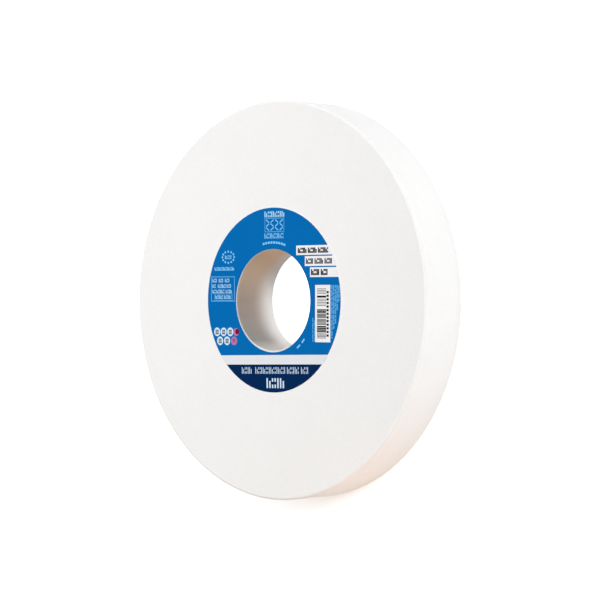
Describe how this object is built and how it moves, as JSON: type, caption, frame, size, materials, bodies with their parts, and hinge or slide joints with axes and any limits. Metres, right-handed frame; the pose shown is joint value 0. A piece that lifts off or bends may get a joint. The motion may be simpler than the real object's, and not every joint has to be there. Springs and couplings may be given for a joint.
{
  "type": "bench grinding wheel",
  "caption": "Straight white vitrified grinding wheel with a plain through bore, rounded rim edges and a paper blotter glued to each side.",
  "frame": {"origin": "centre of the bore at the underside, where the rear blotter lies on the bench", "axes": "+Z along the spindle axis, out of the printed side; +Y towards the top of the print; +X to the right of the print"},
  "size_m": [0.3, 0.3, 0.0408],
  "materials": {
    "white_fused_alumina": "matt, open grained, vitrified bond",
    "printed_blotter_paper": "printed and lightly glazed",
    "plain_blotter_paper": "matt, uncoated"
  },
  "bodies": {
    "root": {"abrasive_wheel": "white_fused_alumina", "front_blotter": "printed_blotter_paper", "rear_blotter": "plain_blotter_paper"}
  },
  "joints": []
}
